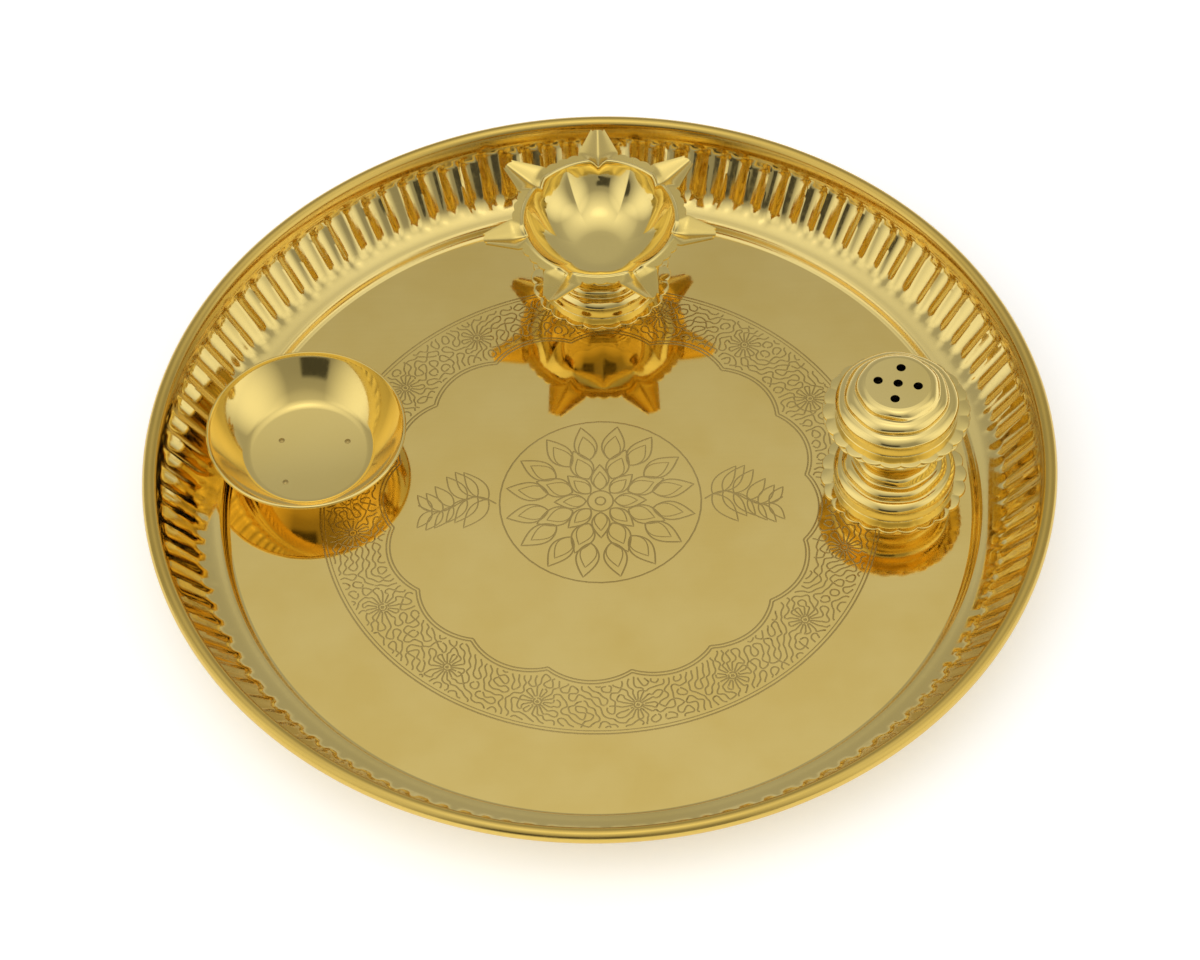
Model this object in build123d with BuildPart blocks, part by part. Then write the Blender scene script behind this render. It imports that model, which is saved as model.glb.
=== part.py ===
from build123d import *

import math
import os

# Puja thali: a round brass tray with a fluted wall, and on it a star-shaped oil lamp, a small bowl
# and an incense stand, each of which lifts off. Millimetres, +Z up. The origin is the centre of the
# underside of the tray's floor, on which the tray stands.

# Tray: one sheet, from the floor outward over a small step and a sloping wall to a rolled rim.
rim_diameter = 254.0
tray_sheet = 0.8
step_fold = 0.65
wall_run = 15.4
wall_fold = 9.0
head_fold = 3.0
wall_slope = 52.8
wall_band = 3.2
roll_bore = 1.3
roll_turn = 300.0

# Flutes, pressed outward through the sloping wall, deepest near the top and running out at the foot.
flute_count = 120
flute_width = 3.8
flute_depth = 0.9
flute_flank = 45.0
flute_margin = 0.3
flute_run_in = 0.06

# Stamped dome, used four times: a flat top, ring steps below it and a scalloped flange.
stamp_sheet = 0.6
dome_top_radius = 9.0
ring_count = 3
ring_bore = 2.15
dome_skirt = 3.45
dome_tuck = 0.55
flange_radius = 20.7
scallop_count = 22
scallop_radius = 4.0

# Lamp: a bowl whose lip opens into pointed wick channels, with small petals between them.
lip_radius = 22.0
lamp_depth = 13.1
lamp_bottom_radius = 6.0
lobe_depth = 1.2
lobe_station_shares = (0, 0.25, 0.5, 0.75, 1)
petal_reach = 25.4
petal_radius = 2.6
petals_between_points = 3
point_count = 7
point_reach = 34.4
point_root_width = 11.6
point_tip_width = 3.6
point_lift = 0.6
channel_depth = 2.4
notch_width = 3.0

# Small bowl with a flared side and a thick lip.
bowl_rim_radius = 28.4
bowl_height = 12.4
bowl_floor_radius = 17.6
bowl_sheet = 0.6
bowl_lip = 0.55
bowl_belly_share = 0.05

# Incense holes in the stand's cap.
stick_hole_radius = 1.32
stick_circle_radius = 5.6
stick_count = 4
stick_angle = -12.0

# Where the pieces stand on the tray, and how they are joined.
solder = 0.3
solder_margin = 2.0
edge_gap = 0.4
lamp_bearing = 89.0
bowl_bearing = 167.0
stand_bearing = 4.4
stand_shift = 3.7
cup_turn = 8.0
overrun = 1.0

# Worked out from the sizes above.
half_step = step_fold + tray_sheet
roll_radius = roll_bore + tray_sheet
wall_inner_radius = rim_diameter / 2 - 2 * roll_radius
wall_foot_radius = wall_inner_radius - wall_run
wall_foot_height = tray_sheet + 2 * half_step
floor_radius = wall_foot_radius - 2 * half_step
wall_tilt = math.radians(wall_slope)
slope_along = Vector(math.cos(wall_tilt), 0, math.sin(wall_tilt))
slope_out = Vector(math.sin(wall_tilt), 0, -math.cos(wall_tilt))
slope_foot = Vector(wall_foot_radius, 0, wall_foot_height + wall_fold) + slope_out * wall_fold
slope_length = (wall_inner_radius - head_fold + slope_out.X * head_fold - slope_foot.X) / slope_along.X
wall_head_height = (slope_foot + slope_along * slope_length - slope_out * head_fold).Z
roll_height = wall_head_height + wall_band
flank_tilt = math.radians(flute_flank)
flute_spread = tray_sheet * math.tan((math.pi / 2 - flank_tilt) / 2)
ring_radius = ring_bore + stamp_sheet
dome_height = stamp_sheet + dome_skirt + ring_count * ring_radius
dome_radius = dome_top_radius + ring_count * ring_radius
skirt_radius = dome_radius - dome_tuck
lamp_lip_height = dome_height + solder + stamp_sheet + lamp_depth
lamp_run = lip_radius - lamp_bottom_radius
lamp_curve = (lamp_run**2 + lamp_depth**2) / (2 * lamp_depth)
point_pitch = 360 / point_count
point_half_angle = math.degrees(math.asin(point_root_width / 2 / petal_reach))
petal_range = point_pitch - 2 * point_half_angle


def on_floor(bearing, base_radius):
    """Centre of a piece that stands on the tray's floor, its base close to the step."""
    return Vector(floor_radius - edge_gap - base_radius, 0, tray_sheet).rotate(Axis.Z, bearing)


def level(origin, rise, up=1, turn=0):
    """Level plane above a point, facing up, or down where up is -1, turned about its axis."""
    return Plane(origin + Vector(0, 0, rise), x_dir=Vector(1, 0, 0).rotate(Axis.Z, turn), z_dir=(0, 0, up))


def upright(plane):
    """Plane through a level plane's axis, for profiles that are turned about that axis."""
    return Plane(plane.origin, x_dir=plane.x_dir, z_dir=-plane.y_dir)


def turn_axis(plane):
    """Axis on which a turned piece stands."""
    return Axis(plane.origin, plane.z_dir)


def stamped_dome(base, pierced=False):
    """Dome that stands on its scalloped flange on a level plane, with incense holes where pierced."""
    with BuildPart() as dome:
        with BuildSketch(upright(base)):
            with BuildLine():
                Line((0, dome_height), (dome_top_radius, dome_height))
                inner = Vector(0, dome_height - stamp_sheet)
                for ring in range(ring_count):
                    centre = (dome_top_radius + ring * ring_radius, dome_height - (ring + 1) * ring_radius)
                    crown = CenterArc(centre, ring_radius, 0, 90)
                    hollow = CenterArc(centre, ring_bore, 0, 90)
                    Line(inner, hollow @ 1)
                    inner = hollow @ 0
                    if ring < ring_count - 1:
                        corner = inner - Vector(0, stamp_sheet)
                        Line(inner, corner)
                        inner = corner
                Polyline(
                    crown @ 0,
                    (skirt_radius, stamp_sheet),
                    (skirt_radius, 0),
                    (skirt_radius - stamp_sheet, 0),
                    inner,
                )
                Line((0, dome_height), (0, dome_height - stamp_sheet))
            make_face()
        revolve(axis=turn_axis(base))
        with BuildSketch(base):
            Circle(flange_radius - scallop_radius / 2)
            with PolarLocations(flange_radius - scallop_radius, scallop_count):
                Circle(scallop_radius)
            Circle(skirt_radius - stamp_sheet, mode=Mode.SUBTRACT)
        extrude(amount=stamp_sheet)
        if pierced:
            with BuildSketch(base.offset(dome_height + overrun)):
                Circle(stick_hole_radius)
                with PolarLocations(stick_circle_radius, stick_count, start_angle=stick_angle):
                    Circle(stick_hole_radius)
            extrude(amount=-stamp_sheet - 2 * overrun, mode=Mode.SUBTRACT)
    return dome.part


def solder_disc(base):
    """Flat disc of solder between two stamped pieces."""
    with BuildPart() as disc:
        with BuildSketch(base):
            Circle(dome_top_radius - solder_margin)
        extrude(amount=solder)
    return disc.part


def pressed_flute(gap, width, cover):
    """One flute on a face of the sloping wall: its bed and end as a side profile, with its flanks cut along
    straight lines of the slope."""
    foot = slope_foot + slope_out * gap
    slope_tip = Vector(0, 0, foot.Z - foot.X * math.tan(wall_tilt))
    half_angle = math.degrees(math.asin(width / 2 / (foot + slope_along * slope_length).X))
    start = flute_margin
    stop = slope_length - flute_margin
    with BuildPart() as flute:
        with BuildSketch(Plane(foot, x_dir=slope_along, z_dir=(0, -1, 0))):
            with BuildLine():
                Polyline(
                    (start, cover),
                    (start, flute_run_in),
                    (stop - flute_depth, -flute_depth),
                    (stop, flute_run_in),
                    (stop, cover),
                    close=True,
                )
            make_face()
        extrude(amount=width, both=True)
        for side in (-1, 1):
            edge = slope_along.rotate(Axis.Z, side * half_angle)
            away = Vector(0, side, 0).rotate(Axis.Z, side * half_angle)
            below = slope_out.rotate(Axis.Z, side * half_angle)
            normal = away * math.cos(flank_tilt) + below * math.sin(flank_tilt)
            split(bisect_by=Plane(slope_tip, x_dir=edge, z_dir=normal), keep=Keep.BOTTOM)
    return flute.part


os.makedirs("parts", exist_ok=True)

# Tray, turned from one profile: both faces of the sheet, then the edge of the roll. Each flute adds its
# back to the outside before its hollow is taken from the inside.
flute_back = pressed_flute(tray_sheet, flute_width + 2 * flute_spread, tray_sheet / 2)
flute_hollow = pressed_flute(0, flute_width, overrun)
with BuildPart() as tray:
    with BuildSketch(Plane.XZ):
        with BuildLine():
            sheet_ends = []
            for gap in (0, tray_sheet):
                Line((0, tray_sheet - gap), (floor_radius, tray_sheet - gap))
                CenterArc((floor_radius, tray_sheet + half_step), half_step + gap, -90, 90)
                CenterArc((wall_foot_radius, tray_sheet + half_step), half_step - gap, 180, -90)
                foot = CenterArc(
                    (wall_foot_radius, wall_foot_height + wall_fold), wall_fold + gap, -90, wall_slope
                )
                head = CenterArc(
                    (wall_inner_radius - head_fold, wall_head_height),
                    head_fold + gap,
                    wall_slope - 90,
                    90 - wall_slope,
                )
                Line(foot @ 1, head @ 0)
                wall = wall_inner_radius + gap
                Line((wall, wall_head_height), (wall, roll_height))
                curl = CenterArc(
                    (wall_inner_radius + roll_radius, roll_height), roll_radius - gap, 180, -roll_turn
                )
                sheet_ends.append(curl @ 1)
            Line(*sheet_ends)
            Line((0, 0), (0, tray_sheet))
        make_face()
    revolve(axis=Axis.Z)
    with PolarLocations(0, flute_count):
        add(flute_back)
    with PolarLocations(0, flute_count):
        add(flute_hollow, mode=Mode.SUBTRACT)
tray.part.label = "tray"
export_step(tray.part, "parts/tray.step")

# Lamp: the star-shaped bowl, soldered to a stamped foot.
lamp_place = on_floor(lamp_bearing, flange_radius)
lamp_foot = stamped_dome(level(lamp_place, 0))
lamp_foot.label = "lamp_foot"
export_step(lamp_foot, "parts/lamp_foot.step")

lamp_solder = solder_disc(level(lamp_place, dome_height))
lamp_solder.label = "lamp_solder"
export_step(lamp_solder, "parts/lamp_solder.step")

lamp_base = level(lamp_place, dome_height + solder)
lip_level = level(lamp_place, lamp_lip_height)


def lamp_dish(gap):
    """Lamp's body, filled, with a lobe below each point and a crease between lobes: its outer face where the
    gap is the sheet, its hollow where it is zero."""
    opening = math.acos((lamp_curve - lamp_depth) / (lamp_curve + gap))
    with BuildPart() as dish:
        for share in lobe_station_shares:
            height = stamp_sheet + lamp_curve - (lamp_curve + gap) * math.cos(share * opening)
            radius = lamp_bottom_radius + (lamp_curve + gap) * math.sin(share * opening)
            crease = radius - lobe_depth * math.sin(share * math.pi)
            with BuildSketch(lamp_base.offset(height)):
                with BuildLine():
                    for point in range(point_count):
                        middle = 90 + point * point_pitch
                        ThreePointArc(
                            Vector(crease, 0).rotate(Axis.Z, middle - point_pitch / 2),
                            Vector(radius, 0).rotate(Axis.Z, middle),
                            Vector(crease, 0).rotate(Axis.Z, middle + point_pitch / 2),
                        )
                make_face()
        loft()
    return dish.part


def wick_point(hollow=False):
    """Folded wick channel, running out along +X from the lip's level: its sheet, or the space above it."""
    stations = (
        (lip_radius - channel_depth, notch_width, 0, channel_depth),
        (petal_reach, point_root_width, 0, channel_depth),
        (point_reach, point_tip_width, point_lift, channel_depth * point_tip_width / point_root_width),
    )
    with BuildPart() as point:
        for reach, width, lift, depth in stations:
            valley = lift - depth
            fold = [(-width / 2, lift), (0, valley), (width / 2, lift)]
            if hollow:
                back = [(width / 2, lift + overrun), (-width / 2, lift + overrun)]
            else:
                back = [(across, height - stamp_sheet) for across, height in reversed(fold)]
            with BuildSketch(Plane.YZ.offset(reach)):
                with BuildLine():
                    Polyline(*fold, *back, close=True)
                make_face()
        loft(ruled=True)
    return point.part


lamp_body = lamp_dish(stamp_sheet)
lamp_hollow = lamp_dish(0)
channel_sheet = wick_point()
channel_hollow = wick_point(hollow=True)
with BuildPart() as lamp_bowl:
    add(lamp_body)
    with BuildSketch(lip_level):
        Circle(petal_reach - petal_radius)
        for point in range(point_count):
            first = 90 + point * point_pitch + point_half_angle + petal_range / petals_between_points / 2
            with PolarLocations(petal_reach - petal_radius, petals_between_points, first, petal_range):
                Circle(petal_radius)
    extrude(amount=-stamp_sheet)
    with Locations(lip_level):
        with PolarLocations(0, point_count, start_angle=90):
            add(channel_sheet)
    add(lamp_hollow, mode=Mode.SUBTRACT)
    with Locations(lip_level):
        with PolarLocations(0, point_count, start_angle=90):
            add(channel_hollow, mode=Mode.SUBTRACT)
lamp_bowl.part.label = "lamp_bowl"
export_step(lamp_bowl.part, "parts/lamp_bowl.step")

# Small bowl, turned: a flat base, a side that flares on an arc, and a bead along the lip.
bowl_base = level(on_floor(bowl_bearing, bowl_floor_radius + half_step), 0)
bowl_foot = Vector(bowl_floor_radius, bowl_sheet / 2)
bowl_edge = Vector(bowl_rim_radius - bowl_lip, bowl_height - bowl_lip)
bowl_side = bowl_edge - bowl_foot
bowl_belly = bowl_belly_share * bowl_side.length
bowl_curve = (bowl_side.length**2 / 4 + bowl_belly**2) / (2 * bowl_belly)
bowl_inward = bowl_side.rotate(Axis.Z, 90).normalized()
bowl_centre = bowl_foot + bowl_side / 2 + bowl_inward * (bowl_curve - bowl_belly)
bowl_edge_angle = math.degrees(math.atan2(bowl_edge.Y - bowl_centre.Y, bowl_edge.X - bowl_centre.X))
with BuildPart() as bowl:
    with BuildSketch(upright(bowl_base)):
        with BuildLine():
            sides = []
            for height in (0, bowl_sheet):
                radius = bowl_curve + bowl_sheet / 2 - height
                foot_angle = math.degrees(math.asin((height - bowl_centre.Y) / radius))
                side = CenterArc(bowl_centre, radius, foot_angle, bowl_edge_angle - foot_angle)
                Line((0, height), side @ 0)
                sides.append(side)
            Line(sides[0] @ 1, sides[1] @ 1)
            Line((0, 0), (0, bowl_sheet))
        make_face()
        with Locations(bowl_edge):
            Circle(bowl_lip)
    revolve(axis=turn_axis(bowl_base))
bowl.part.label = "bowl"
export_step(bowl.part, "parts/bowl.step")

# Incense stand: a foot, then a cup and a cap that meet on their flanges, soldered on off its centre.
stand_place = on_floor(stand_bearing, flange_radius)
stand_foot = stamped_dome(level(stand_place, 0))
stand_foot.label = "stand_foot"
export_step(stand_foot, "parts/stand_foot.step")

stand_top = stand_place + Vector(0, stand_shift, 0)
stand_solder = solder_disc(level(stand_place + Vector(0, stand_shift / 2, 0), dome_height))
stand_solder.label = "stand_solder"
export_step(stand_solder, "parts/stand_solder.step")

stand_seam = 2 * dome_height + solder
stand_cup = stamped_dome(level(stand_top, stand_seam, up=-1, turn=cup_turn))
stand_cup.label = "stand_cup"
export_step(stand_cup, "parts/stand_cup.step")

stand_cap = stamped_dome(level(stand_top, stand_seam), pierced=True)
stand_cap.label = "stand_cap"
export_step(stand_cap, "parts/stand_cap.step")
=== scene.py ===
import math

import bpy
import numpy as np
from mathutils import Matrix, Vector
from mathutils.geometry import tessellate_polygon


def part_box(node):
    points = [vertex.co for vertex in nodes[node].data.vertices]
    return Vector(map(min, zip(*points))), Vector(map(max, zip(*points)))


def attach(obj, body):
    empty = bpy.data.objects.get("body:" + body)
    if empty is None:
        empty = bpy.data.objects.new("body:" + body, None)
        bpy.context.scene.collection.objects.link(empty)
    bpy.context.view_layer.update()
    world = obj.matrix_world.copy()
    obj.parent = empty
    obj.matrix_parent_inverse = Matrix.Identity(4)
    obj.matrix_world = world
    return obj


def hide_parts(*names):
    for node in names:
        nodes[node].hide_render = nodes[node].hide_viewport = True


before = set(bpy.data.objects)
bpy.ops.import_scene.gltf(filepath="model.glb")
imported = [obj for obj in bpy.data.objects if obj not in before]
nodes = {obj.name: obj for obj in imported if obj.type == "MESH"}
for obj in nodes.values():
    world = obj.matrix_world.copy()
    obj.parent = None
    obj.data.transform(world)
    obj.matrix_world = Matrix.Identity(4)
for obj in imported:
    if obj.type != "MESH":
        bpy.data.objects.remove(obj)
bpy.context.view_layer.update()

# Sizes are in millimetres, and meshes are made in metres.
MM = 0.001

# Tray, as in the frame: one sheet, with a step, a sloping fluted wall and a rolled rim.
TRAY_SHEET = 0.8
STEP_FOLD = 0.65
WALL_RUN = 15.4
FOOT_FOLD = 9.0
HEAD_FOLD = 3.0
WALL_SLOPE = 52.8
WALL_BAND = 3.2
ROLL_BORE = 1.3
ROLL_TURN = 300.0

# Flutes: scoops pressed outward through the wall, side by side, with a little hand irregularity.
FLUTE_COUNT = 120
FLUTE_DEPTH = 0.85
FLUTE_STEPS = 10
FLUTE_STRAY = 0.1
FLUTE_UNEVEN = 0.7
FLUTE_DEPTH_STRAY_SHARE = 0.2
FLUTE_TOP_GAP = 0.9
FLUTE_FOOT_GAP = 3.8
FLUTE_END = 2.2
FLUTE_RUN_OUT = 0.55
FLUTE_SOFT = 0.06
FLUTE_SIDE_SEED = 1.0
FLUTE_TOP_SEED = 3.0
FLUTE_FOOT_SEED = 4.0
FLUTE_DEPTH_SEED = 5.0
WAVER_RATE = 12.9898
WAVER_BEAT = 4.1414
WAVER_SEED_RATE = 78.233
TRAY_UPPER_STEPS = 5
TRAY_LOWER_STEPS = 3

# Stamped domes, used four times, and the solder between them and other pieces.
STAMP_SHEET = 0.6
DOME_TOP_RADIUS = 9.0
RING_COUNT = 3
RING_BORE = 2.15
DOME_SKIRT = 3.45
DOME_TUCK = 0.55
SCALLOP_COUNT = 22
SCALLOP_RADIUS = 4.0
SCALLOP_STEPS = 16
RING_STRAY = 0.3
RING_WAVES = 3
RING_STEPS = 5
EDGE_STEPS = 7
CORNER_SHARE = 0.25
CORNER_ROUNDS = 2
CUP_TURN = 8.0
SOLDER_COLUMNS = 64

# Lamp: a lobed bowl whose lip opens into pointed wick channels, with small petals between them.
LIP_RADIUS = 22.0
LAMP_DEPTH = 13.1
LAMP_BOTTOM_RADIUS = 6.0
PETAL_REACH = 25.4
PETAL_RADIUS = 2.6
PETALS_BETWEEN_POINTS = 3
POINT_COUNT = 7
POINT_REACH = 34.4
POINT_ROOT_WIDTH = 11.6
POINT_TIP_WIDTH = 3.6
POINT_LIFT = 0.6
CHANNEL_DEPTH = 2.4
CHANNEL_ROUNDING = 0.08
CHANNEL_SHARPNESS = 1.6
NOTCH_SHARE = 0.45
NOTCH_PINCH = 0.8
LOBE_DEPTH = 1.2
LIP_ROUNDING = 0.5
LIP_RIDGE = 0.3
LIP_TURN = 150.0
CREASE_SHARPNESS = 1.3
LAMP_COLUMNS = 560
LAMP_BOTTOM_STEPS = 4
LAMP_SIDE_STEPS = 30
LIP_STEPS = 9
BRIM_STEPS = 15

# Bowl, with a bead along its lip and three dents in its floor.
BOWL_FLOOR_RADIUS = 17.6
BOWL_SHEET = 0.6
BOWL_LIP = 0.55
BOWL_BELLY_SHARE = 0.05
BOWL_CORNER = 1.2
BOWL_CORNER_RISE = 0.08
BEAD_TUCK = 40.0
BEAD_STEPS = 20
BOWL_SIDE_STEPS = 24
BOWL_COLUMNS = 256
BOWL_DENTS = ((-8.0, 5.0), (10.9, 4.1), (-6.4, -10.1))
DENT_RADIUS = 0.9
DENT_HEIGHT = 0.16
DENT_STEPS = 7
DENT_COLUMNS = 24

# Incense holes in the stand's cap.
STICK_HOLE_RADIUS = 1.32
STICK_CIRCLE_RADIUS = 5.6
STICK_COUNT = 4
STICK_ANGLE = -12.0
HOLE_STEPS = 32

# Engraving: a band of leaf scrolls between a circle and a border of arches, and a lotus in the middle.
BAND_OUTER_RADIUS = 79.0
BAND_LINE_GAP = 1.0
BAND_STEPS = 360
INNER_LINE_SHARE = 0.7
ARCH_COUNT = 16
ARCH_CUSP_RADIUS = 58.5
ARCH_TOP_RADIUS = 61.6
ARCH_START = 7.5
ARCH_SWELL = 0.8
ARCH_STEPS = 40
BAND_MARGIN = 0.9
LEAF_WAVE = 3.1
LEAF_WAVES = 40
LEAF_SEED = 7
LEAF_STEP = 0.5
SHORTEST_CHAIN = 4
FLOWER_COUNT = 16
FLOWER_START = 7.5
FLOWER_CIRCLE = 70.3
FLOWER_RADIUS = 5.2
FLOWER_EYE = 1.5
FLOWER_PETALS = 9
CUT_WIDTH = 0.48
CUT_LIFT = 0.012
CUT_RELIEF = 0.05
CUT_PETAL_SWELL = 0.8
CUT_PETAL_STEPS = 17
LOTUS_RINGS = ((4.0, 9.0, 5.0, 8, 0.0), (8.5, 11.0, 6.4, 8, 22.5), (15.0, 12.0, 6.4, 16, 11.25))
LOTUS_CIRCLES = (1.4, 3.6, 28.5)
LOTUS_INSETS = (1.0, 0.72)
LOTUS_CIRCLE_STEPS = 48
SPRAY_START = 29.5
SPRAY_LENGTH = 22.0
SPRAY_RISE = 5.0
SPRAY_LEAVES = 6
SPRAY_LEAF = 12.0
SPRAY_LEAF_WIDTH = 0.42
SPRAY_LEAF_TAPER = 0.5
SPRAY_LEAN = 55.0
SPRAY_CUT_SHARE = 0.85
SPRAY_STEPS = 30
SPRAY_FIRST_LEAF = 3
SPRAY_LEAF_RUN = 26

# Meshes: the least radius of a turned profile, and the angles up to which edges are shown as smooth.
TINY = 1e-6
SMOOTH_ANGLE = 40.0
VESSEL_SMOOTH_ANGLE = 50.0
ALL_SMOOTH = 180.0

# Finishes: numbers by which faces are marked, the run of the polishing marks, and the spread of the noise.
WALL_FINISH = 1
RIM_FINISH = 2
# Faces inside the closed domes are marked for painted shade: a dark colour where they lie in shade.
PAINTED_SHADE = 1
ALONG_X = (0.06, 1, 1)
UPRIGHT = (1, 1, 0.1)
EVEN = (1, 1, 1)
MARK_DEPTH = 0.02
MARK_DETAIL = 2
SATIN_MARK_SCALE = 60.0
TARNISH_DETAIL = 3
ROUGHNESS_LEAST = 0.7
ROUGHNESS_MOST = 1.5
COAT_ROUGHNESS = 0.04
NOISE_LOW = 0.35
NOISE_HIGH = 0.65

# Floor, and a soft light above it.
FLOOR_HALF = 20000.0
FLOOR_GAP = 0.05
FLOOR_GLOW = 0.28
FLOOR_NOISE_SCALE = 6.0
FLOOR_NOISE_DETAIL = 2
FLOOR_SHADES = (0.955, 0.965)
FLOOR_ROUGHNESS = 0.9
KEY_PLACE = (-260, -520, 1000)
KEY_SIZE = 900
KEY_POWER = 3.0

# Light field: brightness by the cosine of the angle from overhead, a soft light at each side, and a dimmer
# front with a dark figure in it.
OVERHEAD = (0.0, -0.087, 0.996)
OVERHEAD_STOPS = (
    (-1.0, 0.50), (0.0, 0.60), (0.12, 0.58), (0.26, 0.42), (0.5, 0.42), (0.64, 0.45), (0.695, 0.48),
    (0.743, 0.60), (0.788, 0.67), (0.866, 0.80), (0.94, 0.95), (0.975, 1.05), (1.0, 1.35),
)
SIDE_TOWARDS = (0.85, -0.35, 0.40)
SIDE_EDGE = 0.78
SIDE_CORE = 1.0
SIDE_LIGHT = 0.7
FRONT_FAR = -0.95
FRONT_NEAR = -0.1
FRONT_SHADE = 0.75
FIGURE_SHIFT = -0.2
FIGURE_NEAR = -0.2
FIGURE_HALF = 0.28
FIGURE_LOW = 0.2
FIGURE_HIGH = 0.5
FIGURE_SOFT = 0.03
FIGURE_SHADE = 0.8

# The camera, fitted to the photograph: its place above the tray's floor, its turns and its focal length.
PHOTO_WIDTH = 1200.0
CAMERA_PLACE = (7.543, -661.032, 868.793)
CAMERA_PITCH = 0.914898
CAMERA_YAW = -0.011298
CAMERA_ROLL = 0.033275
CAMERA_FOCAL_PIXELS = 3866.06
SENSOR_WIDTH = 36.0
CLIP_START = 0.01
CLIP_END = 50.0


def node_centre(node):
    """Middle of a CAD node in plan, in millimetres."""
    low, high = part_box(node)
    return Vector(((low.x + high.x) / 2 / MM, (low.y + high.y) / 2 / MM))


def node_span(node):
    """Lowest and highest level of a CAD node, in millimetres."""
    low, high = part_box(node)
    return low.z / MM, high.z / MM


# Worked out from the frame and from the sizes above.
rim_radius = (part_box("tray")[1].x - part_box("tray")[0].x) / 2 / MM
bowl_rim_radius = (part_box("bowl")[1].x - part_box("bowl")[0].x) / 2 / MM
bowl_height = node_span("bowl")[1] - node_span("bowl")[0]
flange_radius = (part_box("lamp_foot")[1].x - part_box("lamp_foot")[0].x) / 2 / MM
half_step = STEP_FOLD + TRAY_SHEET
roll_radius = ROLL_BORE + TRAY_SHEET
wall_inner_radius = rim_radius - 2 * roll_radius
wall_foot_radius = wall_inner_radius - WALL_RUN
wall_foot_height = TRAY_SHEET + 2 * half_step
floor_radius = wall_foot_radius - 2 * half_step
wall_tilt = math.radians(WALL_SLOPE)
straight_run = WALL_RUN - HEAD_FOLD - (FOOT_FOLD - HEAD_FOLD) * math.sin(wall_tilt)
straight_foot = wall_foot_height + FOOT_FOLD * (1 - math.cos(wall_tilt))
wall_head_height = straight_foot + straight_run * math.tan(wall_tilt) + HEAD_FOLD * math.cos(wall_tilt)
roll_height = wall_head_height + WALL_BAND
ring_radius = RING_BORE + STAMP_SHEET
dome_height = STAMP_SHEET + DOME_SKIRT + RING_COUNT * ring_radius
dome_radius = DOME_TOP_RADIUS + RING_COUNT * ring_radius
skirt_radius = dome_radius - DOME_TUCK


# Meshes

def make_piece(name, points, faces, body, node, smooth_angle=SMOOTH_ANGLE):
    """Mesh object from points in millimetres, on a body, in the place of a CAD node where one is named."""
    mesh = bpy.data.meshes.new(name)
    mesh.from_pydata((np.asarray(points, float) * MM).tolist(), [], faces)
    mesh.update()
    mesh.polygons.foreach_set("use_smooth", np.ones(len(mesh.polygons), bool))
    mesh.set_sharp_from_angle(angle=math.radians(smooth_angle))
    piece = bpy.data.objects.new(name, mesh)
    bpy.context.scene.collection.objects.link(piece)
    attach(piece, body)
    if node:
        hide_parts(node)
    return piece


def grid_faces(rows, columns):
    """Quads of a grid of points whose columns close into a ring."""
    faces = []
    for row in range(rows - 1):
        lower = row * columns
        upper = lower + columns
        for column in range(columns):
            after = (column + 1) % columns
            faces.append((lower + column, lower + after, upper + after, upper + column))
    return faces


def arc(centre, radius, start, turn, steps):
    """Points on an arc, angles in degrees."""
    angles = np.radians(start + turn * np.linspace(0, 1, steps))
    return np.stack([centre[0] + radius * np.cos(angles), centre[1] + radius * np.sin(angles)], 1)


def circle(centre, radius, steps):
    """Points round a circle."""
    return arc(centre, radius, 0, 360, steps + 1)[:-1]


def lathe(profile, columns, centre=(0, 0), level=0, up=1, warp=None):
    """Grid of points of a profile of radius and height, turned about an upright axis."""
    angles = np.linspace(0, 2 * math.pi, columns, endpoint=False)
    radius = np.repeat(profile[:, :1], columns, 1)
    height = np.repeat(profile[:, 1:], columns, 1)
    if warp:
        radius, height = warp(radius, height, angles)
    x = centre[0] + radius * np.cos(angles)
    y = centre[1] + up * radius * np.sin(angles)
    return np.stack([x, y, level + up * height], 2).reshape(-1, 3)


# Tray

def tray_face(gap, steps):
    """The tray's profile on one face of the sheet, from the floor's edge outward, and that of its roll. The
    longer runs get two or three times as many steps."""
    foot = arc((wall_foot_radius, wall_foot_height + FOOT_FOLD), FOOT_FOLD + gap, -90, WALL_SLOPE, 2 * steps)
    head_middle = (wall_inner_radius - HEAD_FOLD, wall_head_height)
    head = arc(head_middle, HEAD_FOLD + gap, WALL_SLOPE - 90, 90 - WALL_SLOPE, steps)
    share = np.linspace(0, 1, 3 * steps)[1:-1, None]
    wall = [
        arc((floor_radius, TRAY_SHEET + half_step), half_step + gap, -90, 90, steps),
        arc((wall_foot_radius, TRAY_SHEET + half_step), half_step - gap, 180, -90, steps)[1:],
        foot[1:],
        foot[-1] * (1 - share) + head[0] * share,
        head,
    ]
    roll = arc((wall_inner_radius + roll_radius, roll_height), roll_radius - gap, 180, -ROLL_TURN, 3 * steps)
    return np.concatenate(wall), roll


def flute_waver(number, seed):
    """Small fixed irregularity of a flute, from -1 to 1."""
    return np.sin(number * WAVER_RATE + seed * WAVER_SEED_RATE) * np.cos(number * WAVER_BEAT + seed)


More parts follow.
